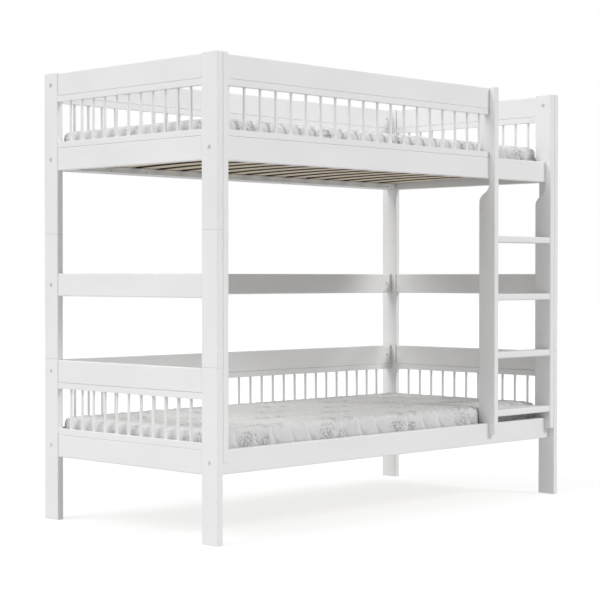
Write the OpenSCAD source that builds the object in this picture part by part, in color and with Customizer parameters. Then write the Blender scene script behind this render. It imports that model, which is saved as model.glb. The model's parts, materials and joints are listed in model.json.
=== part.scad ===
// Bunk bed with a fixed ladder: stacked end frames, bolted rails, turned spindles and two mattresses.
// Origin: centre of the footprint at floor level. +X runs along the bed to the ladder end,
// +Y towards the wall side, +Z up. Millimetres.

/* [Mattresses] */
// Length of each mattress
mattress_l = 2000; // [1600:10:2200]
// Width of each mattress
mattress_w = 900; // [700:10:1400]
// Thickness of each mattress
mattress_h = 104; // [60:1:180]
// Total play between a mattress and the posts, along the bed
mattress_play_l = 14; // [6:1:40]
// Total play between a mattress and the rails, across the bed
mattress_play_w = 12; // [6:1:40]
// Radius of a mattress's upright corners
mattress_corner_r = 40; // [10:1:60]

/* [Frame heights] */
// Height of the lower and the upper end frames
end_h = 642.5; // [560:0.5:900]
// Height of the middle sections, which set the headroom
middle_h = 500; // [400:0.5:900]
// Height of the lowest board above the foot of its section
board_z = 252.5; // [180:0.5:280]
// Drop of a gallery's top board below the top of its section
top_drop = 3; // [0:0.5:12]

/* [Posts] */
// Width of a post, across the bed
post_w = 86; // [70:1:120]
// Thickness of a post, along the bed
post_t = 28; // [24:1:45]

/* [Boards] */
// Height of every rail and board
board_h = 90; // [80:1:130]
// Thickness of the rails and long boards
board_t = 28; // [24:1:40]
// Thickness of the boards between two posts
end_board_t = 22; // [20:1:24]
// Set-back of an end board from the outer face of its posts
end_board_inset = 2; // [0:0.5:4]
// Radius of the long edges of posts and boards
edge_r = 4; // [1:0.5:8]
// Radius at the ends of the post sections
post_end_r = 2.5; // [0.5:0.5:3]

/* [Galleries] */
// Height of the strips that hold the spindles
strip_h = 24; // [20:1:40]
// Diameter of a spindle
spindle_d = 11; // [8:0.5:16]
// Depth that a spindle seats in a strip
spindle_seat = 12; // [8:1:16]
// Number of spindles in each end gallery
end_spindle_count = 11; // [6:1:14]
// Number of spindles in each back gallery
back_spindle_count = 27; // [16:1:32]
// Distance from a post to the first spindle of a back gallery
back_spindle_margin = 92; // [40:1:120]
// Number of spindles in the front guard
guard_spindle_count = 19; // [10:1:22]
// Distance from the guard's end upright to its first spindle
guard_margin_left = 36; // [30:1:80]
// Distance from the ladder to the guard's last spindle
guard_margin_right = 54; // [30:1:80]
// Distance that each guard strip stops short of the uprights
guard_strip_gap = 7.5; // [0:0.5:12]

/* [Ladder] */
// Clear width between the ladder's uprights
ladder_clear_w = 375; // [300:5:500]
// Thickness of the uprights
upright_t = 28; // [24:1:40]
// Height of the uprights' lower ends above the floor
upright_foot_z = 297; // [280:1:320]
// Height of the lowest step's top
first_step_z = 398.5; // [380:0.5:430]
// Rise from one step to the next
step_rise = 250; // [200:1:250]
// Thickness of a step
step_t = 28; // [20:1:40]
// Set-back of a step from the front edge of the uprights
step_inset = 3; // [0:0.5:10]
// Radius of a step's long edges
step_r = 6; // [2:0.5:10]
// Height of the curved cut under the upper rail
curve_h = 92; // [62:1:100]
// Straight part of the cut under the upper rail
curve_gap = 18; // [10:1:60]

/* [Slat bases] */
// Number of slats in each bunk
slats = 16; // [10:1:20]
// Width of a slat
slat_w = 70; // [50:1:80]
// Thickness of a slat
slat_t = 17; // [12:1:22]
// Rise of a sprung slat's middle over its ends
slat_crown = 8; // [5:1:14]
// Distance from the posts to the first slat
slat_margin = 22; // [10:1:60]
// Depth of a ledger, across the bed
ledger_t = 28; // [20:1:32]
// Height of a ledger
ledger_h = 24; // [20:1:30]
// Height of a ledger's underside above its rail's underside
ledger_z = 4; // [3:1:14]
// Number of screws in each ledger
ledger_screws = 11; // [6:1:12]

/* [Fasteners] */
// Diameter of the furniture bolts
bolt_d = 6; // [5:1:8]
// Diameter of a bolt's flat head
bolt_head_d = 18; // [14:1:20]
// Thickness of a bolt's head
bolt_head_h = 2.5; // [2:0.5:4]
// Across-flats size of the hexagon socket
bolt_socket = 4; // [3:0.5:5]
// Diameter of a barrel nut
barrel_d = 10; // [8:1:12]
// Length of a barrel nut
barrel_l = 16; // [12:1:20]
// Distance from a rail's end to its barrel nut
barrel_inset = 34; // [25:1:50]
// Diameter of an insert nut
insert_d = 12; // [10:0.5:13]
// Length of an insert nut
insert_l = 15; // [10:1:18]
// Diameter of the wooden dowels
dowel_d = 8; // [6:1:10]
// Length of a wooden dowel
dowel_l = 30; // [24:1:36]
// Distance between the two dowels in a board's end
dowel_spread = 50; // [30:1:60]
// Distance between the two dowels in a step's end
step_dowel_spread = 44; // [30:1:52]
// Diameter of the steel pins between the post sections
pin_d = 8; // [6:1:10]
// Length of a steel pin
pin_l = 60; // [40:2:66]
// Distance between the two pins in a post
pin_spread = 36; // [28:1:40]
// Diameter of the wood screws
screw_d = 4.5; // [3.5:0.5:5]
// Diameter of a wood screw's head
screw_head_d = 9; // [7:0.5:10]
// Length of the screws through the ledgers and rails
frame_screw_l = 45; // [40:1:48]
// Length of the screws through the slats
slat_screw_l = 28; // [26:1:29]

/* [Clearances] */
// Radial clearance of fasteners and spindles in their holes
hole_clearance = 0.1; // [0.05:0.05:0.3]
// Free depth at the bottom of a blind hole
blind_clearance = 0.5; // [0.2:0.1:1]
// Gap between a mattress and the slats
mattress_gap = 0.5; // [0.3:0.1:2]
// Gap between a mattress's front recess and the ladder
recess_gap = 3; // [1:0.5:10]
// Gap between a ledger's end and the posts
ledger_end_gap = 4; // [1:1:20]
// Gap between a slat's end and the rails
slat_end_gap = 2; // [1:0.5:10]

/* [Hidden] */
$fn = 32;

// Colours
paint = "#e4e4e4";
beech = "#b5a58a";
steel = "#c8c8c8";
ticking = "#d2d3d5";

// Signs of the ends and sides of the bed
left = -1;
right = 1;
front = -1;
back = 1;

// Ladder steps; each one is a node
steps = 4;

// Sections of the stacked end frames, from the floor up
lower = 0;
middle = 1;
upper = 2;

// Plan: clear size inside the frame, and the centre planes of posts and rails
inner_l = mattress_l + mattress_play_l;
inner_w = mattress_w + mattress_play_w;
bed_l = inner_l + 2 * post_t;
rail_y = inner_w / 2 + board_t / 2;
post_x = inner_l / 2 + post_t / 2;
post_gap = 2 * rail_y - post_w;
front_y = -rail_y - post_w / 2;
lip = (post_w - board_t) / 2;
end_board_x = bed_l / 2 - end_board_inset - end_board_t / 2;

// Heights, measured from the foot of a section
board_mid = board_z + board_h / 2;
top_mid = end_h - top_drop - board_h / 2;
strip_low_z = board_z + board_h;
strip_high_z = end_h - top_drop - board_h - strip_h;
spindle_l = strip_high_z - strip_low_z - strip_h + 2 * spindle_seat - blind_clearance;
ledger_foot = board_z + ledger_z;
slat_foot = ledger_foot + ledger_h;
mattress_foot = slat_foot + slat_crown + slat_t + mattress_gap;
upper_z = end_h + middle_h;
bed_h = upper_z + end_h;

// Ladder and guard
ladder_left_x = inner_l / 2 - 1.5 * upright_t - ladder_clear_w;
ladder_right_x = inner_l / 2 - upright_t / 2;
guard_upright_x = -inner_l / 2 + upright_t / 2;
guard_x0 = -inner_l / 2 + upright_t;
guard_x1 = ladder_left_x - upright_t / 2;
guard_l = guard_x1 - guard_x0;
guard_mid_x = (guard_x0 + guard_x1) / 2;
step_d = post_w - step_inset;
recess_x = guard_x1 - 13;
recess_y = -post_gap / 2 + recess_gap;

// Patterns
slat_pitch = (inner_l - 2 * slat_margin - slat_w) / (slats - 1);
ledger_l = inner_l - 2 * ledger_end_gap;
ledger_screw_end = 53;
ledger_screw_pitch = (ledger_l - 2 * ledger_screw_end) / (ledger_screws - 1);
ledger_screw_z = ledger_foot + ledger_h / 3;
ledger_y = inner_w / 2 - ledger_t / 2;
half_slat = inner_w / 2 - slat_end_gap;
// Radius of a slat's underside, the number of steps its curve is drawn in, and the height of its
// screw heads above its ends
slat_bend_r = (half_slat * half_slat + slat_crown * slat_crown) / (2 * slat_crown);
bend_steps = 18;
slat_head_z = slat_t + slat_crown - slat_bend_r + sqrt(slat_bend_r * slat_bend_r - ledger_y * ledger_y);

// Fastener seats
head_seat = bolt_head_h + 0.2;
bolt_l = post_t + barrel_inset + barrel_d / 2 - head_seat + 2;
upright_bolt_l = upright_t + insert_l - head_seat;
upright_screw_z = board_z + 66;
screw_head_h = (screw_head_d - screw_d) / 2;

function section_z(s) = s == lower ? 0 : s == middle ? end_h : upper_z;
function section_h(s) = s == middle ? middle_h : end_h;
function board_heights(s) = s == middle ? [board_mid] : [board_mid, top_mid];
function bolt_heights(s, y) = y == back ? board_heights(s) : s == middle ? [] : [board_mid];
function spread(n, span) = [for (i = [0 : n - 1]) -span / 2 + span * i / (n - 1)];
function slat_positions() = spread(slats, (slats - 1) * slat_pitch);
function ledger_screw_positions() = spread(ledger_screws, (ledger_screws - 1) * ledger_screw_pitch);
function upright_bolt_z(x) = upper_z + (x == left ? (strip_low_z + strip_high_z + strip_h) / 2 : top_mid);
function step_z(i) = first_step_z + (i - 1) * step_rise - step_t / 2;
function end_spindle_pitch() = post_gap / (end_spindle_count + 1);
function end_spindle_positions() = spread(end_spindle_count, end_spindle_pitch() * (end_spindle_count - 1));
function back_spindle_positions() = spread(back_spindle_count, inner_l - 2 * back_spindle_margin);
function guard_spindle_positions() = [
    for (x = spread(guard_spindle_count, guard_l - guard_margin_left - guard_margin_right))
        guard_mid_x + (guard_margin_left - guard_margin_right) / 2 + x
];

// ---------------------------------------------------------------- shared shapes

// Rectangle with rounded corners, centred
module rounded_rect(a, b, r) {
    translate([-a / 2 + r, -b / 2]) square([a - 2 * r, b]);
    translate([-a / 2, -b / 2 + r]) square([a, b - 2 * r]);
    for (x = [-1, 1], y = [-1, 1])
        translate([x * (a / 2 - r), y * (b / 2 - r)]) circle(r);
}

// Bar along X with four rounded long edges, centred
module bar_x(l, b, c, r) {
    rotate([90, 0, 90]) linear_extrude(l, center = true) rounded_rect(b, c, r);
}

// Bar along Y with four rounded long edges, centred
module bar_y(l, a, c, r) {
    rotate([90, 0, 0]) linear_extrude(l, center = true) rounded_rect(a, c, r);
}

// Block with every edge rounded; rx is the radius of the edges that run along X, and so on
module round_block(a, b, c, rx, ry, rz) {
    intersection() {
        bar_x(a, b, c, rx);
        bar_y(b, a, c, ry);
        linear_extrude(c, center = true) rounded_rect(a, b, rz);
    }
}

// Cylinder along +X from the origin
module rod_x(d, l) {
    rotate([0, 90, 0]) cylinder(d = d, h = l);
}

// Cylinder along +Y from the origin
module rod_y(d, l) {
    rotate([-90, 0, 0]) cylinder(d = d, h = l);
}

// Hole diameter for a round piece
function bored(d) = d + 2 * hole_clearance;

// Blind hole for half a dowel on each side of the origin, along Y
module dowel_bore_y() {
    depth = dowel_l / 2 + blind_clearance;
    translate([0, -depth, 0]) rod_y(bored(dowel_d), 2 * depth);
}

// The same along X
module dowel_bore_x() {
    depth = dowel_l / 2 + blind_clearance;
    translate([-depth, 0, 0]) rod_x(bored(dowel_d), 2 * depth);
}

// Furniture bolt, head's face at the origin, shank along -X
module bolt(l) {
    difference() {
        translate([-bolt_head_h, 0, 0]) rod_x(bolt_head_d, bolt_head_h);
        translate([-bolt_head_h * 0.8, 0, 0]) rotate([0, 90, 0])
            cylinder(d = bolt_socket / cos(30), h = bolt_head_h, $fn = 6);
    }
    translate([-bolt_head_h - l, 0, 0]) rod_x(bolt_d, l);
}

// Hole for a bolt with a seat for its head: the face at the origin, the hole along -X
module bolt_bore(l) {
    translate([-l, 0, 0]) rod_x(bored(bolt_d), l + 1);
    translate([-head_seat, 0, 0]) rod_x(bored(bolt_head_d), head_seat + 1);
}

// Countersunk wood screw: the head's face at the origin, the tip along -Z
module screw(l) {
    translate([0, 0, -screw_head_h]) cylinder(d1 = screw_d, d2 = screw_head_d, h = screw_head_h);
    translate([0, 0, -l]) cylinder(d = screw_d, h = l - screw_head_h);
}

// Hole for a countersunk screw, with the face at the origin
module screw_bore(l) {
    translate([0, 0, -screw_head_h])
        cylinder(d1 = bored(screw_d), d2 = bored(screw_head_d), h = screw_head_h);
    cylinder(d = bored(screw_head_d), h = 1);
    translate([0, 0, -l - blind_clearance]) cylinder(d = bored(screw_d), h = l + blind_clearance);
}

// Places its children at a screw that is driven outwards through a rail; y is front or back
module driven_out(y) {
    rotate([y * 90, 0, 0]) children();
}

// ---------------------------------------------------------------- end frames

// One section of a corner post
module post(s, x, y) {
    color(paint) translate([x * post_x, y * rail_y, section_z(s)]) difference() {
        translate([0, 0, section_h(s) / 2])
            round_block(post_t, post_w, section_h(s), post_end_r, post_end_r, edge_r);
        for (z = bolt_heights(s, y))
            mirror([x == left ? 1 : 0, 0, 0]) translate([post_t / 2, 0, z]) bolt_bore(post_t + 1);
        for (z = board_heights(s), dz = [-dowel_spread / 2, dowel_spread / 2])
            translate([x * (end_board_x - post_x), -y * post_w / 2, z + dz]) dowel_bore_y();
        for (z = [if (s != lower) 0, if (s != upper) section_h(s)], dy = [-pin_spread / 2, pin_spread / 2])
            translate([0, dy, z - pin_l / 2 - blind_clearance])
                cylinder(d = bored(pin_d), h = pin_l + 2 * blind_clearance);
        if (s == upper && y == front)
            mirror([x == left ? 1 : 0, 0, 0])
                translate([-post_t / 2 - 1, 0, upright_bolt_z(x) - upper_z])
                    rod_x(bored(insert_d), insert_l + blind_clearance + 1);
    }
}

// Board between the two posts of an end frame
module end_board(s, x, z) {
    color(paint) translate([x * end_board_x, 0, section_z(s) + z]) difference() {
        round_block(end_board_t, post_gap, board_h, edge_r, edge_r, edge_r);
        for (y = [-post_gap / 2, post_gap / 2], dz = [-dowel_spread / 2, dowel_spread / 2])
            translate([0, y, dz]) dowel_bore_y();
    }
}

module lower_front_left_post() { post(lower, left, front); }
module lower_front_right_post() { post(lower, right, front); }
module lower_back_left_post() { post(lower, left, back); }
module lower_back_right_post() { post(lower, right, back); }
module middle_front_left_post() { post(middle, left, front); }
module middle_front_right_post() { post(middle, right, front); }
module middle_back_left_post() { post(middle, left, back); }
module middle_back_right_post() { post(middle, right, back); }
module upper_front_left_post() { post(upper, left, front); }
module upper_front_right_post() { post(upper, right, front); }
module upper_back_left_post() { post(upper, left, back); }
module upper_back_right_post() { post(upper, right, back); }

module lower_left_bottom_board() { end_board(lower, left, board_mid); }
module lower_left_top_board() { end_board(lower, left, top_mid); }
module lower_right_bottom_board() { end_board(lower, right, board_mid); }
module lower_right_top_board() { end_board(lower, right, top_mid); }
module middle_left_board() { end_board(middle, left, board_mid); }
module middle_right_board() { end_board(middle, right, board_mid); }
module upper_left_bottom_board() { end_board(upper, left, board_mid); }
module upper_left_top_board() { end_board(upper, left, top_mid); }
module upper_right_bottom_board() { end_board(upper, right, board_mid); }
module upper_right_top_board() { end_board(upper, right, top_mid); }

// ---------------------------------------------------------------- long boards and rails

// Holes in a long board for the bolt and the barrel nut at each end; y is its side of the bed
module end_bolt_bores(y) {
    for (x = [0, 1]) mirror([x, 0, 0]) {
        translate([inner_l / 2 - barrel_inset - barrel_d, 0, 0])
            rod_x(bored(bolt_d), barrel_inset + barrel_d + 1);
        translate([inner_l / 2 - barrel_inset, -y * (board_t / 2 + 1), 0]) rotate([y * -90, 0, 0])
            cylinder(d = bored(barrel_d), h = (board_t + barrel_l) / 2 + blind_clearance + 1);
    }
}

// Board along the whole bed, bolted between two posts
module long_board(y, z) {
    color(paint) translate([0, y * rail_y, z]) difference() {
        round_block(inner_l, board_t, board_h, edge_r, edge_r, edge_r);
        end_bolt_bores(y);
    }
}

// The same board with the holes of its ledger screws, and at the front those of the upright screws
module rail(y, z) {
    color(paint) translate([0, y * rail_y, z]) difference() {
        round_block(inner_l, board_t, board_h, edge_r, edge_r, edge_r);
        end_bolt_bores(y);
        for (x = ledger_screw_positions())
            translate([x, -y * (board_t / 2 + 1), ledger_screw_z - board_mid]) rotate([-y * 90, 0, 0])
                cylinder(d = bored(screw_d), h = frame_screw_l - ledger_t + blind_clearance + 1);
        if (y == front)
            upright_screw_places(z - board_mid) translate([0, board_t / 2, -z])
                driven_out(front) screw_bore(frame_screw_l);
    }
}

// Places its children at each screw from a front rail into an upright, relative to that rail's axis
module upright_screw_places(foot) {
    for (x = [guard_upright_x, ladder_left_x, ladder_right_x])
        translate([x, 0, foot + upright_screw_z]) children();
}

module lower_back_rail() { rail(back, board_mid); }
module lower_back_top_board() { long_board(back, top_mid); }
module middle_back_board() { long_board(back, end_h + board_mid); }
module upper_back_rail() { rail(back, upper_z + board_mid); }
module upper_back_top_board() { long_board(back, upper_z + top_mid); }
module lower_front_rail() { rail(front, board_mid); }
module upper_front_rail() { rail(front, upper_z + board_mid); }

// Top board of the front guard, from its end upright to the ladder
module guard_top_board() {
    color(paint) translate([guard_mid_x, -rail_y, upper_z + top_mid]) difference() {
        round_block(guard_l, board_t, board_h, edge_r, edge_r, edge_r);
        for (x = [-guard_l / 2, guard_l / 2], dz = [-dowel_spread / 2, dowel_spread / 2])
            translate([x, 0, dz]) dowel_bore_x();
    }
}

// ---------------------------------------------------------------- galleries

// Lower and upper strip of one gallery along X, bored for the spindles at the given positions
module strips_x(l, mid, positions) {
    for (z = [strip_low_z, strip_high_z]) difference() {
        translate([mid, 0, z + strip_h / 2]) bar_x(l, board_t, strip_h, 1);
        for (x = positions) spindle_bore(x, 0);
    }
}

// Space of one spindle, with clearance, from seat to seat
module spindle_bore(x, y) {
    translate([x, y, strip_low_z + strip_h - spindle_seat])
        cylinder(d = bored(spindle_d), h = spindle_l + blind_clearance);
}

// Lower and upper strips of the galleries at both ends of a bunk
module end_strips(foot) {
    color(paint) for (x = [left, right], z = [strip_low_z, strip_high_z])
        translate([x * end_board_x, 0, foot]) difference() {
            translate([0, 0, z + strip_h / 2]) bar_y(post_gap, end_board_t, strip_h, 1);
            for (y = end_spindle_positions()) spindle_bore(0, y);
        }
}

module back_strips(foot) {
    color(paint) translate([0, rail_y, foot]) strips_x(inner_l, 0, back_spindle_positions());
}

// One spindle, standing at the bottom of its seat
module spindle() {
    translate([0, 0, strip_low_z + strip_h - spindle_seat]) cylinder(d = spindle_d, h = spindle_l);
}

module end_spindle_set(foot) {
    color(paint) for (x = [left, right], y = end_spindle_positions())
        translate([x * end_board_x, y, foot]) spindle();
}

module back_spindle_set(foot) {
    color(paint) for (x = back_spindle_positions())
        translate([x, rail_y, foot]) spindle();
}

module lower_end_strips() { end_strips(0); }
module lower_back_strips() { back_strips(0); }
module upper_end_strips() { end_strips(upper_z); }
module upper_back_strips() { back_strips(upper_z); }
module lower_end_spindles() { end_spindle_set(0); }
module lower_back_spindles() { back_spindle_set(0); }
module upper_end_spindles() { end_spindle_set(upper_z); }
module upper_back_spindles() { back_spindle_set(upper_z); }

module guard_strips() {
    color(paint) translate([0, -rail_y, upper_z])
        strips_x(guard_l - 2 * guard_strip_gap, guard_mid_x, guard_spindle_positions());
}

module guard_spindles() {
    color(paint) for (x = guard_spindle_positions())
        translate([x, -rail_y, upper_z]) spindle();
}

// ---------------------------------------------------------------- uprights and ladder

// Side outline of a ladder upright: horizontal from its front edge, vertical from the floor
module ladder_outline() {
    hook_z = upper_z + board_z + board_h;
    cut_top = upper_z + board_z - curve_gap;
    back_reach = post_w - lip;
    // Radius of the two equal arcs that join the lip to the full depth
    r = (curve_h * curve_h + back_reach * back_reach) / (4 * back_reach);
    difference() {
        union() {
            translate([0, upright_foot_z]) square([lip, bed_h - upright_foot_z]);
            translate([0, hook_z]) square([post_w, bed_h - hook_z]);
            translate([0, board_z + board_h])
                square([post_w, cut_top - curve_h - board_z - board_h]);
            translate([0, cut_top - curve_h]) square([lip + back_reach / 2, curve_h]);
            intersection() {
                translate([post_w - r, cut_top - curve_h]) circle(r, $fn = 64);
                translate([lip + back_reach / 2 - 0.01, cut_top - curve_h - 0.01])
                    square([back_reach, curve_h / 2 + 0.01]);
            }
        }
        intersection() {
            translate([lip + r, cut_top]) circle(r, $fn = 64);
            translate([lip, cut_top - curve_h / 2]) square([back_reach, curve_h / 2 + 1]);
        }
    }
}

// Upright piece cut from a rounded plank; its children are the side outline
module upright(x) {
    intersection() {
        translate([x, front_y, 0]) rotate([90, 0, 90])
            linear_extrude(upright_t + 2, center = true) children();
        translate([x, -rail_y, (bed_h + upright_foot_z) / 2])
            round_block(upright_t, post_w, bed_h - upright_foot_z, edge_r, edge_r, edge_r);
    }
}

// Holes for the screws that come through the front rails
module upright_screw_bores() {
    for (foot = [0, upper_z]) upright_screw_places(foot)
        translate([0, -rail_y + board_t / 2, 0]) driven_out(front) screw_bore(frame_screw_l);
}

// Hole for the bolt that holds an upright to its post; x is the upright's end of the bed
module upright_bolt_bore(x) {
    mirror([x == right ? 1 : 0, 0, 0])
        translate([-inner_l / 2 + upright_t, -rail_y, upright_bolt_z(x)]) bolt_bore(upright_t + 1);
}

// Dowel holes for the guard's top board in the face at x
module guard_dowel_bores(x) {
    for (dz = [-dowel_spread / 2, dowel_spread / 2])
        translate([x, -rail_y, upper_z + top_mid + dz]) dowel_bore_x();
}

// Dowel holes for the ends of the steps in the face at x
module step_dowel_bores(x) {
    for (i = [1 : steps], dy = [-step_dowel_spread / 2, step_dowel_spread / 2])
        translate([x, front_y + step_inset + step_d / 2 + dy, step_z(i)]) dowel_bore_x();
}

// End piece of the guard: a strip before both rails, deeper above the upper rail
module guard_upright() {
    color(paint) difference() {
        upright(guard_upright_x) {
            translate([0, upright_foot_z]) square([lip, bed_h - upright_foot_z]);
            translate([0, upper_z + board_z + board_h])
                square([lip + board_t, bed_h - upper_z - board_z - board_h]);
        }
        upright_screw_bores();
        upright_bolt_bore(left);
        guard_dowel_bores(guard_x0);
    }
}

module ladder_left_upright() {
    color(paint) difference() {
        upright(ladder_left_x) ladder_outline();
        upright_screw_bores();
        guard_dowel_bores(guard_x1);
        step_dowel_bores(ladder_left_x + upright_t / 2);
    }
}

module ladder_right_upright() {
    color(paint) difference() {
        upright(ladder_right_x) ladder_outline();
        upright_screw_bores();
        upright_bolt_bore(right);
        step_dowel_bores(ladder_right_x - upright_t / 2);
    }
}

// Step number i, counted from the floor
module ladder_step(i) {
    color(paint) difference() {
        translate([(ladder_left_x + ladder_right_x) / 2, front_y + step_inset + step_d / 2, step_z(i)])
            bar_x(ladder_clear_w, step_d, step_t, step_r);
        step_dowel_bores(ladder_left_x + upright_t / 2);
        step_dowel_bores(ladder_right_x - upright_t / 2);
    }
}

module ladder_step_1() { ladder_step(1); }
module ladder_step_2() { ladder_step(2); }
module ladder_step_3() { ladder_step(3); }
module ladder_step_4() { ladder_step(4); }

// ---------------------------------------------------------------- slat bases and mattresses

// Ledgers on the inner faces of all four rails
module slat_ledgers() {
    color(paint) for (foot = [0, upper_z], y = [front, back])
        translate([0, y * ledger_y, foot]) difference() {
            translate([0, 0, ledger_foot + ledger_h / 2]) bar_x(ledger_l, ledger_t, ledger_h, 1.5);
            for (x = ledger_screw_positions())
                translate([x, -y * ledger_t / 2, ledger_screw_z]) driven_out(y) screw_bore(ledger_t + 1);
            for (x = slat_positions())
                translate([x, 0, slat_foot + slat_head_z]) screw_bore(slat_screw_l);
        }
}

// Points of one long edge of a bent slat, seen from the side: radius r, from end a to end b
function bend_points(r, a, b) =
    [for (i = [0:bend_steps]) let (y = a + (b - a) * i / bend_steps)
        [y, sqrt(r * r - y * y) + slat_crown - slat_bend_r]];

// A slat's bar, bent to an arc about the X axis; its ends stand on the ledgers' tops
module bent_bar() {
    rotate([90, 0, 90]) linear_extrude(slat_w, center = true)
        polygon(concat(bend_points(slat_bend_r, -half_slat, half_slat),
                       bend_points(slat_bend_r + slat_t, half_slat, -half_slat)));
}

// One set of slats across the ledgers
module slat_set(foot) {
    color(beech) for (x = slat_positions())
        translate([x, 0, foot + slat_foot]) difference() {
            bent_bar();
            for (y = [-ledger_y, ledger_y]) translate([0, y, slat_head_z]) screw_bore(slat_t + 1);
        }
}

module lower_slats() { slat_set(0); }
module upper_slats() { slat_set(upper_z); }

// Plain solid of a mattress, with the recess where the ladder's uprights reach in
module mattress(foot) {
    color(ticking) translate([0, 0, foot + mattress_foot]) linear_extrude(mattress_h) difference() {
        rounded_rect(mattress_l, mattress_w, mattress_corner_r);
        translate([recess_x, -mattress_w]) square([mattress_l, mattress_w + recess_y]);
    }
}

module lower_mattress() { mattress(0); }
module upper_mattress() { mattress(upper_z); }

// ---------------------------------------------------------------- fasteners

// Places its children at each bolted rail end: origin on the post's outer face, +X outwards
module rail_bolt_places() {
    for (x = [0, 1]) mirror([x, 0, 0])
        for (s = [lower, middle, upper], y = [front, back])
            for (z = bolt_heights(s, y))
                translate([bed_l / 2, y * rail_y, section_z(s) + z]) children();
}

module rail_bolts() {
    color(steel) rail_bolt_places()
        translate([bolt_head_h - head_seat, 0, 0]) bolt(bolt_l);
}

module barrel_nuts() {
    color(steel) rail_bolt_places()
        translate([-post_t - barrel_inset, 0, 0]) difference() {
            translate([0, -barrel_l / 2, 0]) rod_y(barrel_d, barrel_l);
            translate([-barrel_d, 0, 0]) rod_x(bored(bolt_d), 2 * barrel_d);
        }
}

// Places its children at the two bolts between uprights and posts: +X points into the bed
module upright_bolt_places() {
    for (x = [left, right]) mirror([x == right ? 1 : 0, 0, 0])
        translate([-inner_l / 2 + upright_t, -rail_y, upright_bolt_z(x)]) children();
}

module upright_bolts() {
    color(steel) upright_bolt_places()
        translate([bolt_head_h - head_seat, 0, 0]) bolt(upright_bolt_l - 1);
}

module insert_nuts() {
    color(steel) upright_bolt_places() translate([-upright_t - insert_l, 0, 0]) difference() {
        rod_x(insert_d, insert_l);
        translate([-1, 0, 0]) rod_x(bored(bolt_d), insert_l + 2);
    }
}

module post_pins() {
    color(steel) for (x = [left, right], y = [front, back], z = [end_h, upper_z])
        for (dy = [-pin_spread / 2, pin_spread / 2])
            translate([x * post_x, y * rail_y + dy, z - pin_l / 2]) cylinder(d = pin_d, h = pin_l);
}

// Dowels in the ends of the end boards, the guard's top board and the steps
module wooden_dowels() {
    color(beech) {
        for (x = [left, right], s = [lower, middle, upper], y = [-post_gap / 2, post_gap / 2])
            for (z = board_heights(s), dz = [-dowel_spread / 2, dowel_spread / 2])
                translate([x * end_board_x, y - dowel_l / 2, section_z(s) + z + dz])
                    rod_y(dowel_d, dowel_l);
        for (x = [guard_x0, guard_x1], dz = [-dowel_spread / 2, dowel_spread / 2])
            translate([x - dowel_l / 2, -rail_y, upper_z + top_mid + dz]) rod_x(dowel_d, dowel_l);
        for (x = [ladder_left_x + upright_t / 2, ladder_right_x - upright_t / 2], i = [1 : steps])
            for (dy = [-step_dowel_spread / 2, step_dowel_spread / 2])
                translate([x - dowel_l / 2, front_y + step_inset + step_d / 2 + dy, step_z(i)])
                    rod_x(dowel_d, dowel_l);
    }
}

// Screws through the ledgers into the rails, and through the front rails into the uprights
module frame_screws() {
    color(steel) {
        for (foot = [0, upper_z], y = [front, back], x = ledger_screw_positions())
            translate([x, y * (ledger_y - ledger_t / 2), foot + ledger_screw_z])
                driven_out(y) screw(frame_screw_l);
        for (foot = [0, upper_z]) upright_screw_places(foot)
            translate([0, -rail_y + board_t / 2, 0]) driven_out(front) screw(frame_screw_l);
    }
}

module slat_screws() {
    color(steel) for (foot = [0, upper_z], x = slat_positions(), y = [-ledger_y, ledger_y])
        translate([x, y, foot + slat_foot + slat_head_z]) screw(slat_screw_l);
}

// ---------------------------------------------------------------- nodes

lower_front_left_post();
lower_front_right_post();
lower_back_left_post();
lower_back_right_post();
middle_front_left_post();
middle_front_right_post();
middle_back_left_post();
middle_back_right_post();
upper_front_left_post();
upper_front_right_post();
upper_back_left_post();
upper_back_right_post();
lower_left_bottom_board();
lower_left_top_board();
lower_right_bottom_board();
lower_right_top_board();
middle_left_board();
middle_right_board();
upper_left_bottom_board();
upper_left_top_board();
upper_right_bottom_board();
upper_right_top_board();
lower_back_rail();
lower_back_top_board();
middle_back_board();
upper_back_rail();
upper_back_top_board();
lower_front_rail();
upper_front_rail();
guard_top_board();
lower_end_strips();
lower_back_strips();
upper_end_strips();
upper_back_strips();
guard_strips();
lower_end_spindles();
lower_back_spindles();
upper_end_spindles();
upper_back_spindles();
guard_spindles();
guard_upright();
ladder_left_upright();
ladder_right_upright();
ladder_step_1();
ladder_step_2();
ladder_step_3();
ladder_step_4();
slat_ledgers();
lower_slats();
upper_slats();
lower_mattress();
upper_mattress();
rail_bolts();
barrel_nuts();
upright_bolts();
insert_nuts();
post_pins();
wooden_dowels();
frame_screws();
slat_screws();
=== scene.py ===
"""Looks for the bunk bed with ladder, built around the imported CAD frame.

Units are metres, in the CAD model's own frame.
"""
import json
import math

import bpy
import numpy as np
from mathutils import Matrix, Vector


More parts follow.
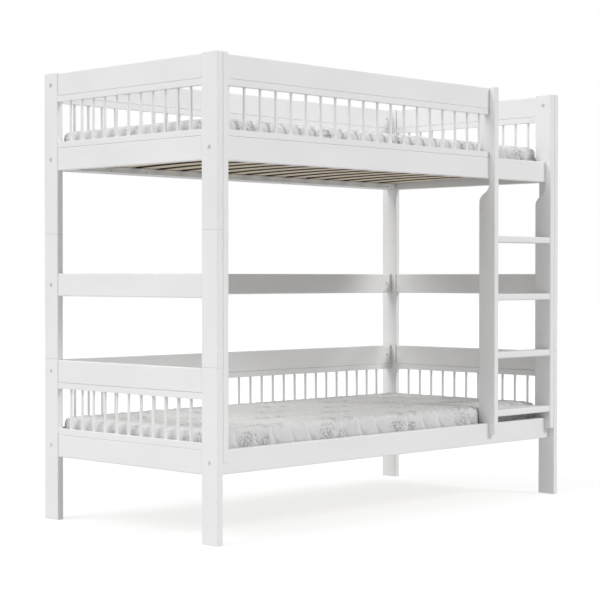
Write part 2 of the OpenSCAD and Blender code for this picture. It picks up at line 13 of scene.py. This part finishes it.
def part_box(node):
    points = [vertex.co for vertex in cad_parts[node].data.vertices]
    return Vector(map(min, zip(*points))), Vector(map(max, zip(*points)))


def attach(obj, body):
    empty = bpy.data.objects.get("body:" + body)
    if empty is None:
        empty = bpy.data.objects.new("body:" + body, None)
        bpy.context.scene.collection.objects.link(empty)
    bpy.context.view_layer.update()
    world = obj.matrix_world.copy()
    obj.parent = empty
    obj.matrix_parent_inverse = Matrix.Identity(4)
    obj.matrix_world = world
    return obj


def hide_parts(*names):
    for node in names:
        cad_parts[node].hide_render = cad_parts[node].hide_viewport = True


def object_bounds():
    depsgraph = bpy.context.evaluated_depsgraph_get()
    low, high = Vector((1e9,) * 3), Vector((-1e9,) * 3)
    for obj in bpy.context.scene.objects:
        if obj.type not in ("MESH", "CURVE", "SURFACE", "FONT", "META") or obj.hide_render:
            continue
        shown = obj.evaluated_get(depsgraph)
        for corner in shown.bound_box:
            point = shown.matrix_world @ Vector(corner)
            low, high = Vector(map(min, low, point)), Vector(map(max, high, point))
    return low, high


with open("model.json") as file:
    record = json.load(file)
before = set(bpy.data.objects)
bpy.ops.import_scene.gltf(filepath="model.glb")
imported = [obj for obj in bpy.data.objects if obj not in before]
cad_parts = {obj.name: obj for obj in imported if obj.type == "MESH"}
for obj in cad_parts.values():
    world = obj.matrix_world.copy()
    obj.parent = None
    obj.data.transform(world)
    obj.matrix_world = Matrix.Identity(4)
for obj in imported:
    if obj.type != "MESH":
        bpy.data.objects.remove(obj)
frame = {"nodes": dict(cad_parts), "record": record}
CAD_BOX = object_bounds()
NODES = frame["nodes"]
SLOTS = {s["node"]: s["material_slot"] for s in frame["record"]["subparts"]}
LOW = CAD_BOX[0]
scene = bpy.context.scene


# ---------------------------------------------------------------- node helpers

class Shader:
    """A new node material, with short calls for its nodes."""

    def __init__(self, name):
        self.material = bpy.data.materials.new(name)
        self.material.use_nodes = True
        self.tree = self.material.node_tree
        self.tree.nodes.clear()
        self.out = self.tree.nodes.new("ShaderNodeOutputMaterial")
        self.bsdf = self.tree.nodes.new("ShaderNodeBsdfPrincipled")
        self.link(self.bsdf.outputs[0], self.out.inputs[0])

    def link(self, source, target):
        self.tree.links.new(source, target)

    def put(self, socket, value):
        if isinstance(value, bpy.types.NodeSocket):
            self.link(value, socket)
        else:
            socket.default_value = value

    def add(self, kind, out=0, settings=None, **inputs):
        """A node of that kind, with inputs named in lower case, or i0, i1 and so on. Returns one output."""
        n = self.tree.nodes.new("ShaderNode" + kind)
        for key, value in (settings or {}).items():
            setattr(n, key, value)
        for key, value in inputs.items():
            if key[0] == "i" and key[1:].isdigit():
                self.put(n.inputs[int(key[1:])], value)
            else:
                self.put(n.inputs[key.replace("_", " ").title()], value)
        return n.outputs[out]

    def math(self, operation, a, b=0.0, c=0.0, clamp=False):
        return self.add("Math", settings={"operation": operation, "use_clamp": clamp}, i0=a, i1=b, i2=c)

    def mix(self, factor, a, b):
        n = self.tree.nodes.new("ShaderNodeMix")
        n.data_type = "RGBA"
        self.put(n.inputs[0], factor)
        self.put(n.inputs[6], a)
        self.put(n.inputs[7], b)
        return n.outputs[2]

    def ramp(self, value, low, high, a=0.0, b=1.0, kind="SMOOTHSTEP"):
        n = self.tree.nodes.new("ShaderNodeMapRange")
        n.interpolation_type = kind
        for socket, v in zip(n.inputs[:5], (value, low, high, a, b)):
            self.put(socket, v)
        return n.outputs[0]

    def place(self, scale, source=None):
        """Object coordinates, stretched by scale."""
        source = source or self.add("TexCoord", out=3)
        return self.add("Mapping", i0=source, i3=scale)

    def noise(self, vector, scale, detail=3.0, rough=0.5):
        return self.add("TexNoise", vector=vector, scale=scale, detail=detail, roughness=rough)

    def bump(self, height, distance, strength=1.0, under=None):
        n = self.tree.nodes.new("ShaderNodeBump")
        n.inputs["Strength"].default_value = strength
        n.inputs["Distance"].default_value = distance
        self.put(n.inputs["Height"], height)
        if under:
            self.link(under, n.inputs["Normal"])
        return n.outputs[0]

    def finish(self, **inputs):
        for key, value in inputs.items():
            self.put(self.bsdf.inputs[key.replace("_", " ").title().replace("Ior", "IOR")], value)
        return self.material


def grey(v, warm=0.0):
    return (v * (1 + warm), v, v * (1 - warm), 1.0)


def along(axis, fine, coarse):
    """Texture scale that stretches a pattern along one axis, so that it runs like grain."""
    scale = [fine, fine, fine]
    scale["XYZ".index(axis)] = coarse
    return scale


# ---------------------------------------------------------------- materials of the frame

def white_paint(axis):
    """Satin paint on planed solid wood: grain telegraphs faintly through it, along the piece."""
    s = Shader("white_paint_" + axis.lower())
    grain = s.noise(s.place(along(axis, 1.0, 0.05)), 190.0, 4.0, 0.6)
    soft = s.noise(s.place(along(axis, 1.0, 0.4)), 7.0, 2.0)
    orange_peel = s.noise(s.place((1, 1, 1)), 900.0, 1.0)
    tone = s.math("ADD", s.math("MULTIPLY", grain, 0.35), s.math("MULTIPLY", soft, 0.65))
    colour = s.mix(s.ramp(tone, 0.3, 0.7), grey(0.775, -0.002), grey(0.80, 0.001))
    height = s.bump(grain, 0.00012, 0.5, s.bump(orange_peel, 0.00003, 0.6))
    rough = s.ramp(soft, 0.3, 0.7, 0.34, 0.44)
    return s.finish(base_color=colour, roughness=rough, normal=height, ior=1.46)


SLATS, SLAT_WIDTH = 16, 0.070


def slat_wood():
    """Sanded bare pine, each slat with its own tone; the grain runs across the bed."""
    s = Shader("slat_wood")
    point = s.add("TexCoord", out=3)
    parts = s.add("SeparateXYZ", i0=point)
    lo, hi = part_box("lower_slats")
    pitch = (hi.x - lo.x - SLAT_WIDTH) / (SLATS - 1)
    index = s.math("ROUND", s.math("DIVIDE", s.math("SUBTRACT", parts, lo.x + SLAT_WIDTH / 2), pitch))
    own = s.add("TexWhiteNoise", settings={"noise_dimensions": "1D"}, w=index)
    shifted = s.add("VectorMath", settings={"operation": "ADD"}, i0=point,
                    i1=s.add("CombineXYZ", i0=0.0, i1=s.math("MULTIPLY", own, 3.0), i2=index))
    rings = s.add("TexWave", vector=s.place((1.0, 0.06, 1.0), shifted), scale=24.0, distortion=7.0,
                  detail=3.0, detail_scale=1.4)
    fibre = s.noise(s.place((1.0, 0.03, 1.0), shifted), 420.0, 4.0, 0.7)
    pale, warm, dark = (0.60, 0.51, 0.37, 1), (0.50, 0.405, 0.275, 1), (0.36, 0.27, 0.17, 1)
    colour = s.mix(s.math("MULTIPLY", rings, 0.55), pale, warm)
    colour = s.mix(s.ramp(fibre, 0.55, 0.85, 0.0, 0.45), colour, dark)
    colour = s.mix(s.math("MULTIPLY", own, 0.35), colour, warm)
    # Painted shade: the slats' side faces are painted near-black to stand in for the shadow in the gaps
    # between the slats
    facing = s.add("SeparateXYZ", i0=s.add("NewGeometry", out=1))
    painted_shade_sides = s.math("GREATER_THAN", s.math("ABSOLUTE", facing), 0.5)
    colour = s.mix(painted_shade_sides, colour, (0.085, 0.066, 0.046, 1))
    return s.finish(base_color=colour, roughness=s.ramp(fibre, 0.2, 0.8, 0.5, 0.68),
                    normal=s.bump(fibre, 0.00025, 0.5))


def dowel_wood():
    s = Shader("dowel_wood")
    fibre = s.noise(s.place((1.0, 0.2, 1.0)), 500.0, 3.0, 0.6)
    colour = s.mix(s.ramp(fibre, 0.3, 0.7), (0.52, 0.38, 0.24, 1), (0.64, 0.49, 0.33, 1))
    return s.finish(base_color=colour, roughness=s.ramp(fibre, 0.2, 0.8, 0.5, 0.65),
                    normal=s.bump(fibre, 0.0002, 0.4))


def plated_steel(name, tone, rough, metal):
    """Zinc-plated steel, with the fine cloudy bloom of plating."""
    s = Shader(name)
    bloom = s.noise(s.place((1, 1, 1)), 350.0, 3.0)
    colour = s.mix(s.ramp(bloom, 0.3, 0.7), grey(tone * 0.93, -0.01), grey(tone, -0.005))
    return s.finish(base_color=colour, metallic=metal, roughness=s.ramp(bloom, 0.3, 0.7, rough, rough + 0.12),
                    normal=s.bump(bloom, 0.00005, 0.4))


def grain_axis(name):
    """The way the wood runs in a painted node."""
    if "post" in name or "upright" in name or "spindles" in name:
        return "Z"
    if "left_bottom" in name or "left_top" in name or "right_bottom" in name or "right_top" in name:
        return "Y"
    if name in ("middle_left_board", "middle_right_board", "lower_end_strips", "upper_end_strips"):
        return "Y"
    return "X"


def dress_frame():
    paint = {axis: white_paint(axis) for axis in "XYZ"}
    other = {
        "slat_wood": slat_wood(),
        "dowel_wood": dowel_wood(),
        "bolt_steel": plated_steel("bolt_steel", 0.68, 0.30, 0.60),
        "screw_steel": plated_steel("screw_steel", 0.60, 0.40, 0.45),
    }
    for name, obj in NODES.items():
        if SLOTS[name] == "mattress_cover":
            continue
        material = other.get(SLOTS[name]) or paint[grain_axis(name)]
        obj.data.materials.clear()
        obj.data.materials.append(material)


# ---------------------------------------------------------------- mattresses

CELL_X, CELL_Y, CELL_Z = 164, 74, 10     # cells of the cover's grid along, across and up
TOP_SEAM, BORDER_SEAM = 4, 8             # cells between seams on the top and on the border
FIRST_SEAM = 2
WAVE_LENGTH, WAVE_DEPTH = 0.143, 0.015   # the seams' waves
INSET = 0.0045                           # how much smaller the cover starts, so that it can puff up
CROWN = 0.004                            # how much higher the top's middle is than its edges
RECESS_RAMP = 0.034                      # length of the slope into the recess behind the ladder
FULL_DEPTH = 0.16                        # how far across the mattress the recess is felt
GROOVE = 0.0035                          # how deep a seam is drawn in
PLAN_R, TOP_R, FOOT_R = 0.021, 0.030, 0.014
PILLOW = 0.0060                          # height of an even pillow
CAP = 0.0090                             # the furthest that a point may puff


# Where each side of the cover lies along V in the material, in metres
SHEET_V = {"top": 0, "long": 10, "end": 20, "foot": 30}
FRAMES = 14                              # length of the cloth simulation


def smoothstep(x, low, high):
    t = np.clip((x - low) / (high - low), 0.0, 1.0)
    return t * t * (3 - 2 * t)


class Cover:
    """The quilted cover of one mattress: a closed grid whose columns follow the seams."""

    def __init__(self, node):
        lo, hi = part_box(node)
        self.centre = (np.array(lo) + np.array(hi)) / 2
        self.half = (np.array(hi) - np.array(lo)) / 2 - np.array([INSET, INSET, 0.0015])
        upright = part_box("ladder_left_upright")
        self.notch_end = upright[0].x - 0.004
        self.notch = upright[1].y + 0.003 - lo.y
        self.build()

    def build(self):
        nx, ny, nz = CELL_X, CELL_Y, CELL_Z
        index, cells = {}, []
        for i in range(nx + 1):
            for j in range(ny + 1):
                ks = range(nz + 1) if i in (0, nx) or j in (0, ny) else (0, nz)
                for k in ks:
                    index[i, j, k] = len(cells)
                    cells.append((i, j, k))
        self.cells = np.array(cells)
        faces, sides = [], []

        def quad(side, *corners):
            faces.append([index[c] for c in corners])
            sides.append(side)

        for i in range(nx):
            for j in range(ny):
                quad("top", (i, j, nz), (i + 1, j, nz), (i + 1, j + 1, nz), (i, j + 1, nz))
                quad("foot", (i, j, 0), (i, j + 1, 0), (i + 1, j + 1, 0), (i + 1, j, 0))
            for k in range(nz):
                quad("long", (i, 0, k), (i + 1, 0, k), (i + 1, 0, k + 1), (i, 0, k + 1))
                quad("long", (i, ny, k), (i, ny, k + 1), (i + 1, ny, k + 1), (i + 1, ny, k))
        for j in range(ny):
            for k in range(nz):
                quad("end", (0, j, k), (0, j, k + 1), (0, j + 1, k + 1), (0, j + 1, k))
                quad("end", (nx, j, k), (nx, j + 1, k), (nx, j + 1, k + 1), (nx, j, k + 1))
        self.faces, self.sides = faces, sides
        self.points = self.shape()

    def shape(self):
        """Rest positions of the grid's points, before they puff."""
        nx, ny, nz = CELL_X, CELL_Y, CELL_Z
        hx, hy, hz = self.half
        i, j, k = self.cells.T
        x = -hx + 2 * hx * i / nx
        y = -hy + 2 * hy * j / ny
        z = -hz + 2 * hz * k / nz
        across = np.where(j == 0, -hy - (hz - z), np.where(j == ny, hy + (hz - z), y))
        calm = smoothstep(hx - np.abs(x), 0.02, 0.09) * np.where((k == 0) & (j > 0) & (j < ny), 0.0, 1.0)
        calm = calm * smoothstep(z, -hz, -hz * 0.2)
        self.across = across
        wave = WAVE_DEPTH * calm * np.sin(2 * math.pi * across / WAVE_LENGTH)
        r = np.stack([np.full_like(x, PLAN_R), np.full_like(x, PLAN_R), np.where(z > 0, TOP_R, FOOT_R)], 1)
        p = np.stack([x, y, z], 1)
        inner = np.clip(p, -(self.half - r), self.half - r)
        d = (p - inner) / r
        length = np.linalg.norm(d, axis=1, keepdims=True)
        p = inner + r * d / np.maximum(length, 1e-9)
        p[:, 0] += wave
        crown = CROWN * (1 - (p[:, 0] / hx) ** 4) * (1 - (p[:, 1] / hy) ** 4)
        p[:, 2] += np.where(k == nz, crown, 0.0)
        step = smoothstep(p[:, 0] + self.centre[0], self.notch_end - RECESS_RAMP, self.notch_end)
        p[:, 1] += self.notch * step * np.clip(1 - (p[:, 1] + hy) / FULL_DEPTH, 0.0, 1.0)
        return p + self.centre

    def seams(self):
        """How firmly each point is sewn down, from 0 to 1."""
        nx, ny, nz = CELL_X, CELL_Y, CELL_Z
        i, j, k = self.cells.T
        top = (k == nz) & ((i - FIRST_SEAM) % TOP_SEAM == 0) & (j > 0) & (j < ny)
        number = (i - FIRST_SEAM) // BORDER_SEAM
        border = ((j == 0) | (j == ny)) & ((i - FIRST_SEAM) % BORDER_SEAM == 0) & (k > 0)
        faint = np.isin(number % 10, (4, 6))
        ends = ((i == 0) | (i == nx)) & ((j - 1) % 8 == 0) & (k > 0)
        firm = np.where(top, 1.0, 0.0)
        firm = np.where(border, np.where(faint, 0.35, 1.0), firm)
        return np.where(ends, 0.8, firm)

    def mesh(self, name):
        mesh = bpy.data.meshes.new(name)
        mesh.from_pydata([tuple(p) for p in self.points], [], self.faces)
        mesh.update()
        layer = mesh.uv_layers.new(name="cloth")
        uv = np.empty((len(mesh.loops), 2))
        co = self.points - self.centre
        start = 0
        for face, side in zip(self.faces, self.sides):
            for n, v in enumerate(face):
                x, y, z = co[v]
                across, up = {"top": (x, y), "foot": (x, y), "long": (x, z), "end": (y, z)}[side]
                uv[start + n] = across, up + SHEET_V[side]
            start += len(face)
        layer.data.foreach_set("uv", uv.ravel())
        quilt = mesh.uv_layers.new(name="quilt")
        corners = np.concatenate([np.array(face) for face in self.faces])
        quilt.data.foreach_set("uv", np.stack([self.cells[corners, 0], self.across[corners]], 1).ravel())
        mesh.polygons.foreach_set("use_smooth", [True] * len(mesh.polygons))
        return mesh


def inflate(obj, sewn):
    """Lets the cover puff up between its seams by a short cloth simulation. Returns the points it reaches."""
    group = obj.vertex_groups.new(name="sewn")
    for weight in sorted(set(sewn[sewn > 0])):
        group.add([int(v) for v in np.where(sewn == weight)[0]], float(weight), "REPLACE")
    cloth = obj.modifiers.new("puff", "CLOTH")
    s = cloth.settings
    s.quality = 4
    s.mass = 0.25
    s.tension_stiffness = s.compression_stiffness = 18
    s.shear_stiffness = 8
    s.bending_stiffness = 0.4
    s.shrink_min = s.shrink_max = -0.022
    s.use_pressure = True
    s.uniform_pressure_force = 14.0
    s.vertex_group_mass = group.name
    s.effector_weights.gravity = 0.0
    cloth.point_cache.frame_start, cloth.point_cache.frame_end = 1, FRAMES
    for f in range(1, FRAMES + 1):
        scene.frame_set(f)
    shaped = obj.evaluated_get(bpy.context.evaluated_depsgraph_get())
    co = np.empty(len(obj.data.vertices) * 3)
    shaped.data.vertices.foreach_get("co", co)
    obj.modifiers.remove(cloth)
    obj.vertex_groups.remove(group)
    scene.frame_set(1)
    return co.reshape(-1, 3)


def puff_by_hand(cover, normals):
    """Even pillows between the seams. The simulation's creases are laid over them."""
    i, j, k = cover.cells.T
    top = np.abs(np.sin(math.pi * (i - FIRST_SEAM) / TOP_SEAM)) * (k == CELL_Z)
    side = np.abs(np.sin(math.pi * (i - FIRST_SEAM) / BORDER_SEAM)) * (k < CELL_Z) * (k > 0)
    return cover.points + normals * (PILLOW * np.sqrt(np.maximum(top, side)))[:, None]


def mattress(node, body, name, material):
    cover = Cover(node)
    obj = bpy.data.objects.new(name, cover.mesh(name))
    scene.collection.objects.link(obj)
    normals = np.array([v.normal for v in obj.data.vertices])
    sewn = cover.seams()
    held = np.where(cover.cells[:, 2] == 0, 1.0, sewn)
    plump = puff_by_hand(cover, normals)
    moved = (plump + inflate(obj, held)) / 2
    step = moved - cover.points
    length = np.linalg.norm(step, axis=1, keepdims=True)
    step *= np.minimum(1.0, CAP / np.maximum(length, 1e-9))
    co = cover.points + step - normals * (GROOVE * sewn)[:, None]
    obj.data.vertices.foreach_set("co", co.ravel())
    obj.data.update()
    obj.data.materials.append(material)
    fine = obj.modifiers.new("fine", "SUBSURF")
    fine.levels = fine.render_levels = 1
    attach(obj, body)
    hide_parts(node)
    return obj


def burst(s, dx, dy, radius, rays, half_stroke, seed):
    """Mask of a round burst of short strokes that radiate from a point, as on a seed head."""
    r = s.math("SQRT", s.math("ADD", s.math("MULTIPLY", dx, dx), s.math("MULTIPLY", dy, dy)))
    turn = s.math("MULTIPLY", s.math("ARCTAN2", dy, dx), rays / (2 * math.pi))
    ray = s.math("FLOOR", turn)
    own = s.add("TexWhiteNoise", settings={"noise_dimensions": "2D"},
                vector=s.add("CombineXYZ", i0=ray, i1=seed, i2=0.0))
    off_centre = s.math("ABSOLUTE", s.math("SUBTRACT", s.math("FRACT", turn), 0.5))
    width = s.math("MULTIPLY", s.math("MULTIPLY", off_centre, r), 2 * math.pi / rays)
    stroke = s.math("LESS_THAN", width, half_stroke)
    dash = s.math("LESS_THAN", s.math("FRACT", s.math("ADD", s.math("MULTIPLY", r, 52.0), own)), 0.55)
    own_reach = s.math("MULTIPLY", s.math("ADD", s.math("MULTIPLY", own, 0.35), 0.65), radius)
    reach = s.math("LESS_THAN", r, own_reach)
    core = s.math("GREATER_THAN", r, 0.006)
    return s.math("MULTIPLY", s.math("MULTIPLY", stroke, dash), s.math("MULTIPLY", reach, core))


def painted_seam_highlight(s, is_border):
    """Mask of painted highlights: light lines along the seams that stand in for light catching the quilting.
    On the top they show most where their waves turn to the light.
    """
    quilt = s.tree.nodes.new("ShaderNodeSeparateXYZ")
    s.link(s.add("UVMap", settings={"uv_map": "quilt"}), quilt.inputs[0])
    column = s.math("SUBTRACT", quilt.outputs[0], FIRST_SEAM)
    pitch = s.math("ADD", TOP_SEAM, s.math("MULTIPLY", is_border, BORDER_SEAM - TOP_SEAM))
    turn = s.math("FRACT", s.math("ADD", s.math("DIVIDE", column, pitch), 0.5))
    cells_away = s.math("MULTIPLY", s.math("ABSOLUTE", s.math("SUBTRACT", turn, 0.5)), pitch)
    line = s.ramp(cells_away, 0.12, 0.36, 1.0, 0.0)
    wave = s.math("SINE", s.math("MULTIPLY", quilt.outputs[1], 2 * math.pi / WAVE_LENGTH))
    return s.math("MULTIPLY", line, s.math("MAXIMUM", s.ramp(wave, 0.1, 0.8, 0.1, 1.0), is_border))


# The print's pattern: pitch and first burst on the top, then on the border
BRICK_U, BRICK_V, TOP_START = 0.390, 0.190, (0.105, -0.023)
BORDER_PITCH, BORDER_START = 0.420, -0.785


def mattress_cover():
    """Knitted ticking, pale grey, printed with scattered bursts of short strokes."""
    s = Shader("mattress_cover")
    uv = s.add("UVMap", settings={"uv_map": "cloth"})
    split = s.tree.nodes.new("ShaderNodeSeparateXYZ")
    s.link(uv, split.inputs[0])
    u, v = split.outputs[0], split.outputs[1]
    # The top's bursts lie on a brick pattern, the border's in one row
    is_border = s.math("GREATER_THAN", v, SHEET_V["long"] / 2)
    v_top = s.math("SUBTRACT", v, TOP_START[1])
    row = s.math("ROUND", s.math("DIVIDE", v_top, BRICK_V))
    odd = s.math("ABSOLUTE", s.math("MODULO", row, 2.0))
    u_top = s.math("SUBTRACT", s.math("SUBTRACT", u, TOP_START[0]), s.math("MULTIPLY", odd, BRICK_U / 2))
    column = s.math("ROUND", s.math("DIVIDE", u_top, BRICK_U))
    dx_top = s.math("SUBTRACT", u_top, s.math("MULTIPLY", column, BRICK_U))
    dy_top = s.math("SUBTRACT", v_top, s.math("MULTIPLY", row, BRICK_V))
    u_side = s.math("SUBTRACT", u, BORDER_START)
    place = s.math("ROUND", s.math("DIVIDE", u_side, BORDER_PITCH))
    dx_side = s.math("SUBTRACT", u_side, s.math("MULTIPLY", place, BORDER_PITCH))
    level = s.math("FRACT", s.math("ADD", v, 0.5))
    dy_side = s.math("SUBTRACT", level, 0.5)

    def choose(a, b):
        return s.math("ADD", s.math("MULTIPLY", b, is_border),
                      s.math("MULTIPLY", a, s.math("SUBTRACT", 1.0, is_border)))

    dx, dy = choose(dx_top, dx_side), choose(dy_top, dy_side)
    seed = s.math("ADD", s.math("MULTIPLY", row, 7.0), s.math("ADD", column, place))
    first = burst(s, s.math("ADD", dx, 0.036), s.math("SUBTRACT", dy, 0.004), 0.056, 34, 0.0015, seed)
    # The second one is drawn out along a slope, like a leaf
    dx_leaf, dy_leaf = s.math("SUBTRACT", dx, 0.050), s.math("ADD", dy, 0.006)
    along_leaf = s.math("MULTIPLY", s.math("ADD", dx_leaf, dy_leaf), 0.70)
    across_leaf = s.math("MULTIPLY", s.math("SUBTRACT", dx_leaf, dy_leaf), 1.15)
    second = burst(s, along_leaf, across_leaf, 0.046, 30, 0.0021, s.math("ADD", seed, 3.0))
    patchy = s.ramp(s.noise(s.place((1, 1, 1)), 60.0, 2.0), 0.35, 0.6, 0.35, 1.0)
    ink = s.math("MULTIPLY", s.math("MAXIMUM", first, second), s.math("MULTIPLY", patchy, 0.85))
    mottle = s.noise(s.place((1, 1, 1)), 26.0, 3.0)
    loops = s.add("TexVoronoi", vector=s.place((1, 1, 1)), scale=620.0)
    base = s.mix(s.ramp(mottle, 0.3, 0.7), (0.590, 0.590, 0.588, 1), (0.650, 0.650, 0.648, 1))
    base = s.mix(s.ramp(loops, 0.0, 0.7, 0.18, 0.0), base, (0.45, 0.455, 0.47, 1))
    seam_highlight_mask = painted_seam_highlight(s, is_border)
    # Painted highlight: along the seams the colour is mixed towards light grey, where light would catch the
    # quilting
    base = s.mix(s.math("MULTIPLY", seam_highlight_mask, 0.4), base, (0.86, 0.86, 0.86, 1))
    colour = s.mix(ink, base, (0.20, 0.205, 0.215, 1))
    # Painted shade: the underside, seen between the slats, is painted near-black to stand in for the shadow
    # under the mattress
    colour = s.mix(s.math("GREATER_THAN", v, SHEET_V["foot"] - 5), colour, (0.035, 0.035, 0.038, 1))
    weave = s.bump(loops, 0.0005, 0.35, s.bump(mottle, 0.0015, 0.4))
    return s.finish(base_color=colour, roughness=s.ramp(mottle, 0.3, 0.7, 0.78, 0.9), normal=weave,
                    sheen_weight=0.25, sheen_roughness=0.5)


# ---------------------------------------------------------------- stage, light and camera

def floor():
    """A pale floor that gives off some light of its own, so that it is white up to the object's shadow."""
    mesh = bpy.data.meshes.new("floor")
    r = 40.0
    mesh.from_pydata([(-r, -r, 0), (r, -r, 0), (r, r, 0), (-r, r, 0)], [], [(0, 1, 2, 3)])
    obj = bpy.data.objects.new("floor", mesh)
    obj.location.z = LOW.z - 0.0005
    scene.collection.objects.link(obj)
    s = Shader("floor_white")
    cloud = s.noise(s.place((1, 1, 1)), 1.5, 2.0)
    colour = s.mix(s.ramp(cloud, 0.3, 0.7), grey(0.23), grey(0.25))
    obj.data.materials.append(s.finish(base_color=colour, roughness=0.9, specular_ior_level=0.0,
                                       emission_color=(1, 1, 1, 1), emission_strength=0.78))
    obj.visible_diffuse = False


def world_math(tree, operation, a, b):
    n = tree.nodes.new("ShaderNodeMath")
    n.operation = operation
    for socket, value in zip(n.inputs, (a, b)):
        if isinstance(value, bpy.types.NodeSocket):
            tree.links.new(value, socket)
        else:
            socket.default_value = value
    return n.outputs[0]


def soft_sun(name, origin, energy, spread):
    """Even light that comes from the direction of origin, spread over some degrees."""
    sun = bpy.data.objects.new(name, bpy.data.lights.new(name, "SUN"))
    sun.data.energy = energy
    sun.data.angle = math.radians(spread)
    sun.rotation_euler = Vector(origin).to_track_quat("Z", "Y").to_euler()
    scene.collection.objects.link(sun)


def light():
    """A white tent, brighter overhead and underfoot than level with the bed, and plain white to the camera.

    Two soft suns light the bed's end and its front."""
    world = bpy.data.worlds.new("tent")
    world.use_nodes = True
    tree = world.node_tree
    tree.nodes.clear()
    parts = tree.nodes.new("ShaderNodeSeparateXYZ")
    tree.links.new(tree.nodes.new("ShaderNodeTexCoord").outputs["Generated"], parts.inputs[0])
    x, y, z = parts.outputs
    up = world_math(tree, "MULTIPLY", world_math(tree, "MAXIMUM", z, 0.0), 0.22)
    down = world_math(tree, "MULTIPLY", world_math(tree, "MINIMUM", z, 0.0), -0.40)
    side = world_math(tree, "MULTIPLY", world_math(tree, "MINIMUM", x, 0.0), -0.05)
    level = world_math(tree, "ADD", world_math(tree, "ADD", up, down), world_math(tree, "ADD", side, 0.45))
    seen = tree.nodes.new("ShaderNodeLightPath").outputs["Is Camera Ray"]
    strength = world_math(tree, "MAXIMUM", level, seen)
    back = tree.nodes.new("ShaderNodeBackground")
    back.inputs["Color"].default_value = (1, 1, 1, 1)
    tree.links.new(strength, back.inputs["Strength"])
    tree.links.new(back.outputs[0], tree.nodes.new("ShaderNodeOutputWorld").inputs[0])
    scene.world = world
    soft_sun("key_left", (-0.80, 0.30, 0.92), 1.95, 45)
    soft_sun("key_front", (0.40, -0.85, 0.70), 1.48, 18)
    scene.view_settings.view_transform = "Standard"
    scene.view_settings.look = "None"


def camera():
    """A long lens a little below the upper bunk's slats, turned 45 degrees to the bed."""
    data = bpy.data.cameras.new("camera")
    data.sensor_width = 36.0
    data.lens = 99.92
    data.clip_end = 200.0
    obj = bpy.data.objects.new("camera", data)
    front_left = Vector((LOW.x, LOW.y, LOW.z))
    obj.location = front_left + Vector((-4.0563, -4.4050, 0.9717))
    heading, tilt, roll = math.radians(45.4776), math.radians(-0.7945), math.radians(0.024)
    turn = Matrix.Rotation(-heading, 3, "Z") @ Matrix.Rotation(math.pi / 2 + tilt, 3, "X")
    turn = turn @ Matrix.Rotation(roll, 3, "Z")
    obj.rotation_euler = turn.to_euler()
    scene.collection.objects.link(obj)
    scene.camera = obj


camera()
light()
floor()
dress_frame()
cover_material = mattress_cover()
mattress("lower_mattress", "lower_mattress", "lower_mattress_cover", cover_material)
mattress("upper_mattress", "upper_mattress", "upper_mattress_cover", cover_material)
